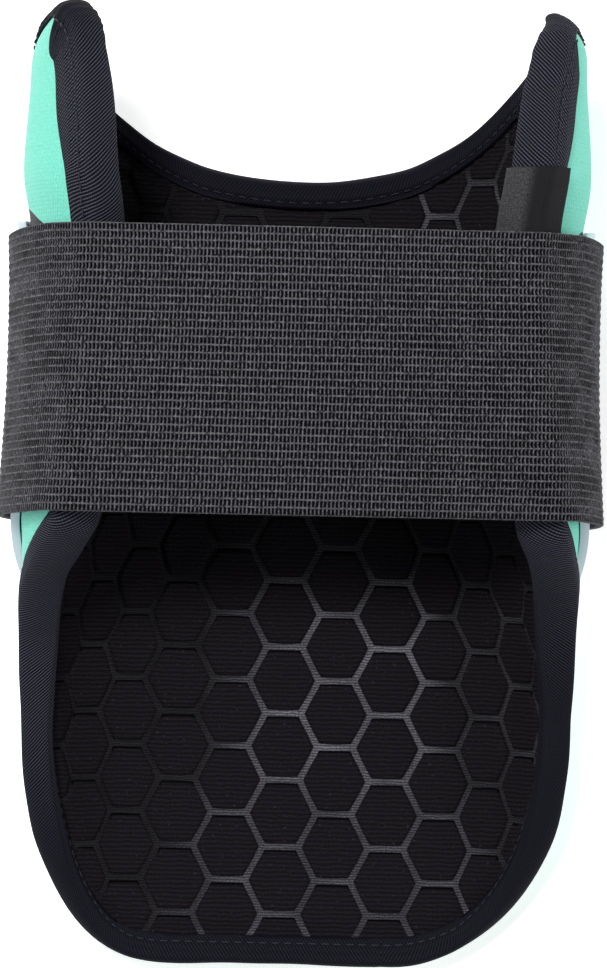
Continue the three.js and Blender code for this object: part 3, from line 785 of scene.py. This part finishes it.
def hex_field():
    """Pads side by side, cut off at the rim: points, triangles, insets from the rim and places on a pad.

    A place is the share of the way out, how far up the pad's side it lies, and how near a corner.
    """
    points, shares, triangles = hex_cell()
    up = points[:, 1] / (HEX_PITCH / 2 * np.maximum(shares, 0.1))
    rise = points[:, 1] * math.sin(math.pi / 3) / (HEX_PITCH / 2)
    turn = np.arctan2(rise, points[:, 0] * 1.5 / HEX_COLUMN)
    centres = np.array([
        [HEX_CENTRE_S + i * HEX_COLUMN, HEX_CENTRE_Y + (j + (abs(i) % 2) / 2) * HEX_PITCH]
        for i in HEX_COLUMNS for j in HEX_ROWS
    ])
    count = len(centres)
    flat = (points[None] + centres[:, None]).reshape(-1, 2)
    place = np.tile(np.stack([shares, up, 0.5 + 0.5 * np.cos(6 * turn)], -1), (count, 1))
    faces = (triangles[None] + np.arange(count)[:, None, None] * len(points)).reshape(-1, 3)
    _, first, merged = np.unique(np.round(flat, 3), axis=0, return_index=True, return_inverse=True)
    flat, place, faces = flat[first], place[first], merged.ravel()[faces]
    inset = from_rim(flat)
    faces = faces[(inset[faces] > LINER_EDGE).all(1)]
    used, faces = np.unique(faces, return_inverse=True)
    return flat[used], faces.reshape(-1, 3), inset[used], place[used].T


def open_edges(faces):
    """Edges of triangles that have a face on one side only."""
    edges = np.concatenate([faces[:, [0, 1]], faces[:, [1, 2]], faces[:, [2, 0]]]).tolist()
    forward = {tuple(e) for e in edges}
    return np.array([e for e in edges if (e[1], e[0]) not in forward])


def make_liner():
    """Padded lining: crowned hexagons with narrow grooves, drawn in by a seam along the tape."""
    flat, faces, inset, (share, up, corner) = hex_field()
    s, y = flat[:, 0], flat[:, 1]
    from_tape = inset - TAPE_FLAP_IN
    is_clear = smoothstep(from_tape, *PADS_FROM_TAPE)
    seam = smoothstep(from_tape, *SEAM_STARTS) * (1 - smoothstep(from_tape, *SEAM_ENDS))
    crease_and_painted_shade = np.exp(-(((share - CREASE_SHARE) / CREASE_WIDTH) ** 2)) * smoothstep(up, *CREASE_UP)
    reach = share + PAD_CORNER * corner**2
    crown = PAD_RAISE + PAD_CROWN * (1 - share**2)
    pad = crown * (1 - smoothstep(reach, *PAD_EDGE)) - CREASE_DEPTH * crease_and_painted_shade
    wrinkle = 0.10 * np.sin(y / 0.9 + 1.3 * np.sin(s / 7)) * np.sin(s / 9 + y / 23) * is_clear
    dip = np.minimum(SEAM_DEPTH, SEAM_SHARE * read_column(SECTIONS, "pad", y)) * seam
    cloth = Cloth()
    front = cloth.add(wall_point(s, y, liner_out(y) - pad * is_clear - wrinkle + dip))
    back = cloth.add(wall_point(s, y, -(COVER_THICK + LAYER_GAP)))
    cloth.face(front[faces], flat[faces])
    cloth.face(back[faces[:, ::-1]], flat[faces[:, ::-1]])
    rim = open_edges(faces)
    numbers = np.stack([front[rim[:, 0]], back[rim[:, 0]], back[rim[:, 1]], front[rim[:, 1]]], -1)
    cloth.face(numbers, flat[rim[:, [0, 0, 1, 1]]])
    groove = smoothstep(reach, *GROOVE_EDGE)
    # The crease mask carries both the real crease and painted shade in the tricot's colour
    piece = cloth.piece("liner_pads", tricot_material(), "liner", "black_tricot",
                        {"groove": np.tile(groove, 2), "crease_and_painted_shade": np.tile(crease_and_painted_shade * is_clear, 2)})


# Edge binding and its stitches

WING_FLAP_LEFT = 5.8
WING_FLAP_RIGHT = 4.6
WING_FLAP_GROWS_LEFT = 2.6
WING_FLAP_GROWS_RIGHT = 3.6
WING_FLAP_Y = (-10, 50)
WING_FLAP_GROWS_Y = (58, 88)
LOW_FLAP = 3.0
TIP_FLAP = 1.5
TIP_FLAP_REACH = (64, 88)
TIP_EDGE_LEFT = 108.0
TIP_EDGE_DRAWN_LEFT = 3.0
TIP_EDGE_DRAWN_Y = (96, 104)
TIP_EDGE_RIGHT = 102.0
TIP_PRESS = 0.45
SIDE_FLAP_IN = 3.0
FACE_PRESS = 0.9
BACK_PRESS = 0.5
TAPE_PUFF = 0.5
STITCH_OUT_PAST = -1.0
STITCH_IN_PAST = -2.6
STITCH_PITCH = 2.9
STITCH_LENGTH = 2.1
STITCH_THICK = 0.2
STITCH_BOW = 0.16
STITCH_SUNK = 0.25
STITCH_WRAP = 0.27
STITCH_SHOWS_Y = (0, 45)
HOLLOW_DEPTH = 0.42
TAPE_EDGE_ROUND = 0.28


def fold_line(thickness, distance, bulge, flap_out, flap_in, steps):
    """Points (past the rim, out) of one face of tape folded over a wall, from outside to inside."""
    outside, roll, inside = steps
    middle = -thickness / 2
    angle = np.linspace(math.pi / 2, -math.pi / 2, roll + 1)
    past = TAPE_GAP + bulge * np.maximum(0, np.cos(angle)) ** 0.8
    out = middle + (distance - middle) * np.sin(angle)
    flap = np.linspace(-flap_out, TAPE_GAP, outside + 1)[:-1]
    tail = np.linspace(TAPE_GAP, -flap_in, inside + 1)[1:]
    return (
        np.concatenate([flap, past, tail]),
        np.concatenate([np.full(outside, distance), out, np.full(inside, 2 * middle - distance)]),
    )


def fold_section(thickness, gap, thick, bulge, flap_out, flap_in, steps, back_steps):
    """Closed section of folded tape: its outer face, a rounded edge, its inner face, a rounded edge."""
    past, out = fold_line(thickness, gap + thick, bulge + thick, flap_out, flap_in, steps)
    back_past, back_out = fold_line(thickness, gap, bulge, flap_out, flap_in, back_steps)
    rounding = thick * TAPE_EDGE_ROUND
    for line in (past, back_past):
        line[[0, -1]] += rounding
    low, high = gap + rounding, gap + thick - rounding
    return (
        np.concatenate([past, [-flap_in] * 2, back_past[::-1], [-flap_out] * 2]),
        np.concatenate([out, [-thickness - high, -thickness - low], back_out[::-1], [low, high]]),
    )


def flap_widths(points, away):
    """How far the tape reaches over the outside and the inside; narrow on top of the wings and low down."""
    s, y = points[:, 0], points[:, 1]
    reach = np.abs(s)
    wing = np.where(s < 0, WING_FLAP_LEFT, WING_FLAP_RIGHT)
    grows = np.where(s < 0, WING_FLAP_GROWS_LEFT, WING_FLAP_GROWS_RIGHT)
    side = LOW_FLAP + (wing - LOW_FLAP) * smoothstep(y, *WING_FLAP_Y)
    side = side + grows * smoothstep(y, *WING_FLAP_GROWS_Y)
    left_edge = TIP_EDGE_LEFT - TIP_EDGE_DRAWN_LEFT * smoothstep(y, *TIP_EDGE_DRAWN_Y)
    edge = np.where(s < 0, left_edge, TIP_EDGE_RIGHT)
    to_edge = (reach - edge) / np.clip(np.abs(away[:, 0]), 0.05, 1)
    end = TAPE_FLAP_OUT + (TIP_FLAP - TAPE_FLAP_OUT) * smoothstep(reach, *TIP_FLAP_REACH)
    is_end = (y > WING_Y - 18) | ((y > SCOOP_Y - 5) & (away[:, 1] > 0.45))
    outside = np.where(is_end, np.clip(to_edge, end, np.maximum(side, end)), side)
    inside = SIDE_FLAP_IN + (TAPE_FLAP_IN - SIDE_FLAP_IN) * np.abs(away[:, 1])
    return sum(np.roll(outside, k) for k in range(-2, 3)) / 5, inside


FLAP_OUT, FLAP_IN = flap_widths(RIM_POINTS, RIM_AWAY)


def press_flaps(past, out, outside, inside, thickness):
    """Lays the edges of the tape down on the cloth and rounds the part over the lining."""
    is_out = out > -thickness / 2
    share = np.clip(-past / np.where(is_out, outside, inside), 0, 1)
    is_face = np.where(is_out, out > TAPE_GAP + TAPE_THICK / 2, out < -thickness - TAPE_GAP - TAPE_THICK / 2)
    is_tip = (1 - smoothstep(outside, TIP_FLAP, LOW_FLAP)) * is_out
    down = smoothstep(share, 0.2, 1) * np.where(is_face, FACE_PRESS, BACK_PRESS * (1 - is_tip))
    down = down + TIP_PRESS * is_tip * smoothstep(out, -thickness / 2, 0)
    puff = np.where(is_face & ~is_out, TAPE_PUFF, 0) * np.sin(np.pi * share)
    return out + np.where(is_out, -1, 1) * (down - puff)


def folded_points(points, away, past, out):
    """Points of the bent wall for sections of tape at stations of the rim."""
    p = points[:, None] + away[:, None] * past[..., None]
    return wall_point(p[..., 0], p[..., 1], out)


def across_lengths(sections):
    """Mean distance round a section, for its pattern coordinate."""
    steps = np.linalg.norm(np.diff(np.concatenate([sections, sections[:, :1]], 1), axis=1), axis=2)
    return np.concatenate([[0], np.cumsum(steps.mean(0))])


def tape_relief(distance, past, is_outer):
    """How far the tape's outer face stands out: stitched hollows, soft waves and tucks at the wing tips."""
    points, _ = rim_at(distance)
    tip = smoothstep(points[:, 1], WING_Y - 16, WING_Y - 5) * smoothstep(np.abs(points[:, 0]), 80, 95)
    d = distance[:, None]
    ripple = 0.16 * np.sin(d / 4.7 + 0.8 * np.sin(d / 11)) * np.sin(d / 13 + 0.5)
    slow = ripple + 0.10 * np.sin(d / 7.9 + past / 2)
    tucks = 0.13 * tip[:, None] * np.sin(2 * math.pi * d / 3.1 + 2 * np.sin(d / 2.3) + past / 3)
    pull = 0.55 + 0.45 * np.cos(2 * math.pi * d / STITCH_PITCH)
    is_wing = smoothstep(points[:, 1], *STITCH_SHOWS_Y)[:, None]
    outer_row = np.exp(-(((past - STITCH_OUT_PAST) / 0.7) ** 2)) * (0.15 + 0.85 * is_wing)
    hollow = outer_row + np.exp(-(((past - STITCH_IN_PAST) / 0.6) ** 2))
    return is_outer * (slow + tucks - HOLLOW_DEPTH * hollow * pull)


def make_binding():
    """Tape folded over the whole rim as one closed ring."""
    steps, back_steps = (12, 20, 14), (4, 10, 5)
    thickness = -liner_out(RIM_POINTS[:, 1])
    section = [fold_section(t, TAPE_GAP, TAPE_THICK, TAPE_ROLL, a, b, steps, back_steps)
               for t, a, b in zip(thickness, FLAP_OUT, FLAP_IN)]
    past, out = np.array([a for a, _ in section]), np.array([b for _, b in section])
    out = press_flaps(past, out, FLAP_OUT[:, None], FLAP_IN[:, None], thickness[:, None])
    face = sum(steps) + 1
    is_outer = np.zeros(past.shape[1])
    is_outer[:face] = smoothstep(np.minimum(np.arange(face), np.arange(face)[::-1]), 0, 2)
    relief = tape_relief(RIM_AT, past, is_outer)
    centre = -thickness[:, None] / 2
    half = thickness[:, None] / 2 + TAPE_GAP + TAPE_THICK
    upright = np.clip((out - centre) / half, -1, 1)
    sideways = np.sqrt(1 - upright**2) * (past > TAPE_GAP)
    sections = folded_points(RIM_POINTS, RIM_AWAY, past + relief * sideways, out + relief * upright)
    us = np.minimum(RIM_AT, RIM_LENGTH - RIM_AT)
    around = across_lengths(sections)
    cloth = swept(sections, np.concatenate([us, us[:1]]), around, True)
    piece = cloth.piece("binding_tape", twill_material(), "edge_binding", "navy_twill")


def make_stitches():
    """Two rows of stitches, one on each flap of the binding."""
    rings, sides = 7, 6
    along = np.linspace(-1, 1, rings)
    thin = np.sqrt(np.maximum(0, 1 - along**4)) * 0.92 + 0.08
    angle = np.arange(sides) * 2 * math.pi / sides
    cloth = Cloth()
    count = int(RIM_LENGTH / STITCH_PITCH)
    for past, is_inside in ((STITCH_OUT_PAST, False), (STITCH_IN_PAST, True)):
        for n in range(count):
            distance = (n + 0.5) * RIM_LENGTH / count + along * STITCH_LENGTH / 2
            points, away = rim_at(distance)
            thickness = -liner_out(points[:, 1])
            sink = TAPE_GAP + TAPE_THICK - STITCH_BOW * along**2
            deep = STITCH_SUNK * (1 - smoothstep(points[:, 1], *STITCH_SHOWS_Y))
            level = -thickness - sink if is_inside else sink - deep
            outside, inside = (np.interp(distance, RIM_AT, w, period=RIM_LENGTH) for w in (FLAP_OUT, FLAP_IN))
            height = press_flaps(np.full(rings, past), level, outside, inside, thickness)
            across = past + STITCH_THICK * thin[:, None] * np.cos(angle)
            up = height[:, None] + STITCH_THICK * thin[:, None] * np.sin(angle)
            numbers = cloth.add(folded_points(points, away, across, up))
            closed = np.concatenate([numbers, numbers[:, :1]], 1)
            us = np.broadcast_to(distance[:, None], closed.shape)
            vs = np.broadcast_to(np.arange(sides + 1)[None] * STITCH_WRAP, closed.shape)
            cloth.quads(closed, np.stack([us, vs], -1), True)
            cloth.caps(numbers)
    cloth.piece("binding_stitches", thread_material(), None, "navy_twill")


# Strap, hook tab and label

STRAP_EDGE = 0.35
STRAP_BACK_POINTS = 12
RIB_HEIGHT = 0.10
GAP_DEPTH = 0.24
GAP_FILLED = 0.20


def strap_droop(turn, side):
    """How far the strap has slipped down the arm, where the flank has turned up by an angle."""
    rim = rim_turn_at(STRAP_LOW_Y, side)
    return STRAP_DROOP * (rim - np.minimum(turn, rim))


def strap_flare(y, turn):
    """How far the strap's lower edge stands off the flank."""
    fade = 1 - (y - STRAP_LOW_Y) / STRAP_WIDTH
    return STRAP_FLARE * fade**3 * np.maximum(0, np.sin(turn)) ** 2


def strap_half(side, y, out, flank=80, bend=16):
    """Half of the strap's line at y: up the flank from its end, then over the rim to the level."""
    rim = rim_turn_at(y, side)
    turn = np.linspace(math.radians(STRAP_END_TURN), rim, flank + 1)
    flank_y = y - strap_droop(turn, side)
    rise = wall_point(side * across_at_turn(flank_y, turn), flank_y, out + strap_flare(y, turn))
    radius = STRAP_BEND + out - PLATE_OUT - STRAP_GAP
    centre = wall_point(side * across_at_turn(y, rim), y, out + strap_flare(y, rim) - radius)
    turn = np.linspace(rim, math.pi, bend + 1)[1:]
    over = centre + radius * np.stack([side * np.sin(turn), 0 * turn, -np.cos(turn)], -1)
    return np.concatenate([rise, over])


def strap_line(y, out):
    """The strap's whole line at y, from its right end over the open side to its left end."""
    right, left = strap_half(1, y, out), strap_half(-1, y, out)[::-1]
    front = np.linspace(right[-1], left[0], 120)[1:-1]
    return np.concatenate([right, front, left])


def make_strap():
    """Elastic band with ribs along it and gaps between its upright cords."""
    inner = PLATE_OUT + STRAP_GAP
    middle = strap_line(STRAP_LOW_Y + STRAP_WIDTH / 2, inner + STRAP_THICK)
    length = np.linalg.norm(np.diff(middle, axis=0), axis=1).sum()
    cords = int(round(length / CORD_PITCH))
    stations = 2 * cords
    quarter = RIB_PITCH / 4
    low_v, high_v = STRAP_EDGE, STRAP_WIDTH - STRAP_EDGE
    face_v = np.concatenate([[low_v], np.arange(2, 4 * RIB_COUNT - 1) * quarter, [high_v]])
    back_v = np.linspace(high_v, low_v, STRAP_BACK_POINTS)
    edge = STRAP_THICK * np.array([1 - TAPE_EDGE_ROUND, TAPE_EDGE_ROUND])
    v = np.concatenate([face_v, [STRAP_WIDTH] * 2, back_v, [0.0] * 2])
    out = np.concatenate([np.full(len(face_v), STRAP_THICK), edge, np.zeros(len(back_v)), edge[::-1]])
    lines = np.array([resample(strap_line(STRAP_LOW_Y + a, inner + b), stations) for a, b in zip(v, out)])
    sections = lines.transpose(1, 0, 2)

    number = len(face_v)
    is_gap = (np.arange(stations + 1) % 2)[:, None]
    phase = np.cos(2 * math.pi * face_v / RIB_PITCH)[None]
    inside = smoothstep(np.minimum(face_v, STRAP_WIDTH - face_v), 0.3, 1.6)[None]
    relief = inside * (RIB_HEIGHT * phase - is_gap * (GAP_DEPTH - GAP_FILLED * np.maximum(0, phase)))
    under = np.array([resample(strap_line(STRAP_LOW_Y + a, inner), stations) for a in face_v])
    outward = sections[:, :number] - under.transpose(1, 0, 2)
    outward /= np.linalg.norm(outward, axis=2, keepdims=True)
    sections[:, :number] += outward * relief[..., None]

    us = np.arange(stations + 1) * CORD_PITCH / 2
    vs = np.concatenate([v, v[:1]])
    cloth = swept(sections, us, vs, False)
    piece = cloth.piece("strap_elastic", elastic_material(), "strap", "charcoal_elastic")


def make_hook_tab():
    """Hook tape on the plate, at the strap's right end."""
    inner = PLATE_OUT + STRAP_GAP
    turn = math.radians(STRAP_END_TURN)
    y = np.linspace(STRAP_LOW_Y, STRAP_LOW_Y + STRAP_WIDTH, 90)[:, None] - strap_droop(turn, 1)
    end = across_at_turn(y, turn) - LAYER_GAP
    s = end - HOOK_TAB_LENGTH * (1 - np.linspace(0, 1, 30)[None, :])
    y = np.broadcast_to(y, s.shape)
    hooks = HOOK_HEIGHT * np.sin(s * 2 * math.pi / HOOK_PITCH) * np.sin(y * 2 * math.pi / HOOK_PITCH)
    face = wall_point(s, y, inner + STRAP_THICK + hooks)
    cloth = shell(wall_point(s, y, inner), face, np.stack([s, y], -1))
    piece = cloth.piece("hook_tape", hook_material(), "hook_tab", "black_hook")


def make_label():
    """Blank label folded over the binding of the right wing."""
    y = np.linspace(LABEL_TOP_Y - LABEL_LENGTH, LABEL_TOP_Y, 70)
    points = np.stack([across_at_turn(y, rim_turn_at(y, 1)), y], -1)
    away = np.broadcast_to([1.0, 0.0], points.shape)
    steps, back_steps = (8, 16, 14), (4, 8, 6)
    gap = TAPE_GAP + TAPE_THICK + LABEL_GAP
    bulge = TAPE_ROLL + TAPE_THICK + LABEL_GAP
    section = [fold_section(t, gap, LABEL_THICK, bulge, TAPE_FLAP_OUT, LABEL_FLAP_IN, steps, back_steps)
               for t in -liner_out(y)]
    past, out = np.array([a for a, _ in section]), np.array([b for _, b in section])
    sections = folded_points(points, away, past, out)
    around = across_lengths(sections)
    cloth = swept(sections, y - y[0], around, False)
    piece = cloth.piece("label_cloth", label_material(), "label_tab", "woven_label")


# Floor, light and camera

FLOOR_HALF = 3.0
FLOOR_BELOW = 0.0002
WORLD_STRENGTH = 0.1


def floor_material():
    """Pale floor, lit a little from within so that shadows on it stay pale."""
    m = Material("floor", Roughness=0.9, Emission_Color=(1.0, 1.0, 1.0, 1.0), Emission_Strength=0.6)
    at = m.node("ShaderNodeTexCoord").outputs["Object"]
    speck = m.noise(at, 0.4)
    return m.finish(m.mix(speck, rgb(247, 247, 248), rgb(250, 250, 250)))


def make_floor():
    mesh = bpy.data.meshes.new("floor")
    half, z = FLOOR_HALF, -FLOOR_BELOW
    corners = [(-half, -half, z), (half, -half, z), (half, half, z), (-half, half, z)]
    mesh.from_pydata(corners, [], [(0, 1, 2, 3)])
    mesh.materials.append(floor_material())
    floor = bpy.data.objects.new("floor", mesh)
    bpy.context.scene.collection.objects.link(floor)


def area_light(name, place, size, power, target=(0, 0, 0.03)):
    light = bpy.data.objects.new(name, bpy.data.lights.new(name, "AREA"))
    light.data.size = size
    light.data.energy = power
    light.location = place
    light.rotation_euler = (Vector(place) - Vector(target)).to_track_quat("Z", "Y").to_euler()
    bpy.context.scene.collection.objects.link(light)


def make_light():
    world = bpy.data.worlds.new("studio")
    bpy.context.scene.world = world
    world.use_nodes = True
    background = world.node_tree.nodes["Background"]
    background.inputs["Color"].default_value = (0.97, 0.98, 1.0, 1.0)
    background.inputs["Strength"].default_value = WORLD_STRENGTH
    area_light("key", (-0.3, 0.42, 1.4), 0.3, 17)
    area_light("left", (-1.0, -0.1, 0.6), 0.8, 4)
    area_light("right", (1.0, -0.1, 0.6), 0.8, 5.5)
    bpy.context.scene.view_settings.view_transform = "Standard"


CAMERA_ABOVE = 1.078
CAMERA_ASIDE = 0.0006
CAMERA_ROLL = 1.25
VIEW_DEPTH = 1.0
VIEW_LENGTH = 0.212
SENSOR = 36.0


def make_camera():
    """Straight above the open side, turned a little; it sees VIEW_LENGTH across at VIEW_DEPTH."""
    camera = bpy.data.objects.new("camera", bpy.data.cameras.new("camera"))
    camera.data.sensor_width = SENSOR
    camera.data.lens = SENSOR * VIEW_DEPTH / VIEW_LENGTH
    camera.location = (CAMERA_ASIDE, GUARD_Y * MM, CAMERA_ABOVE)
    camera.rotation_euler = (0, 0, math.radians(CAMERA_ROLL))
    bpy.context.scene.collection.objects.link(camera)
    bpy.context.scene.camera = camera


make_camera()
make_light()
make_floor()
make_cover()
make_plate()
make_liner()
make_binding()
make_stitches()
make_strap()
make_hook_tab()
make_label()

bpy.context.view_layer.update()
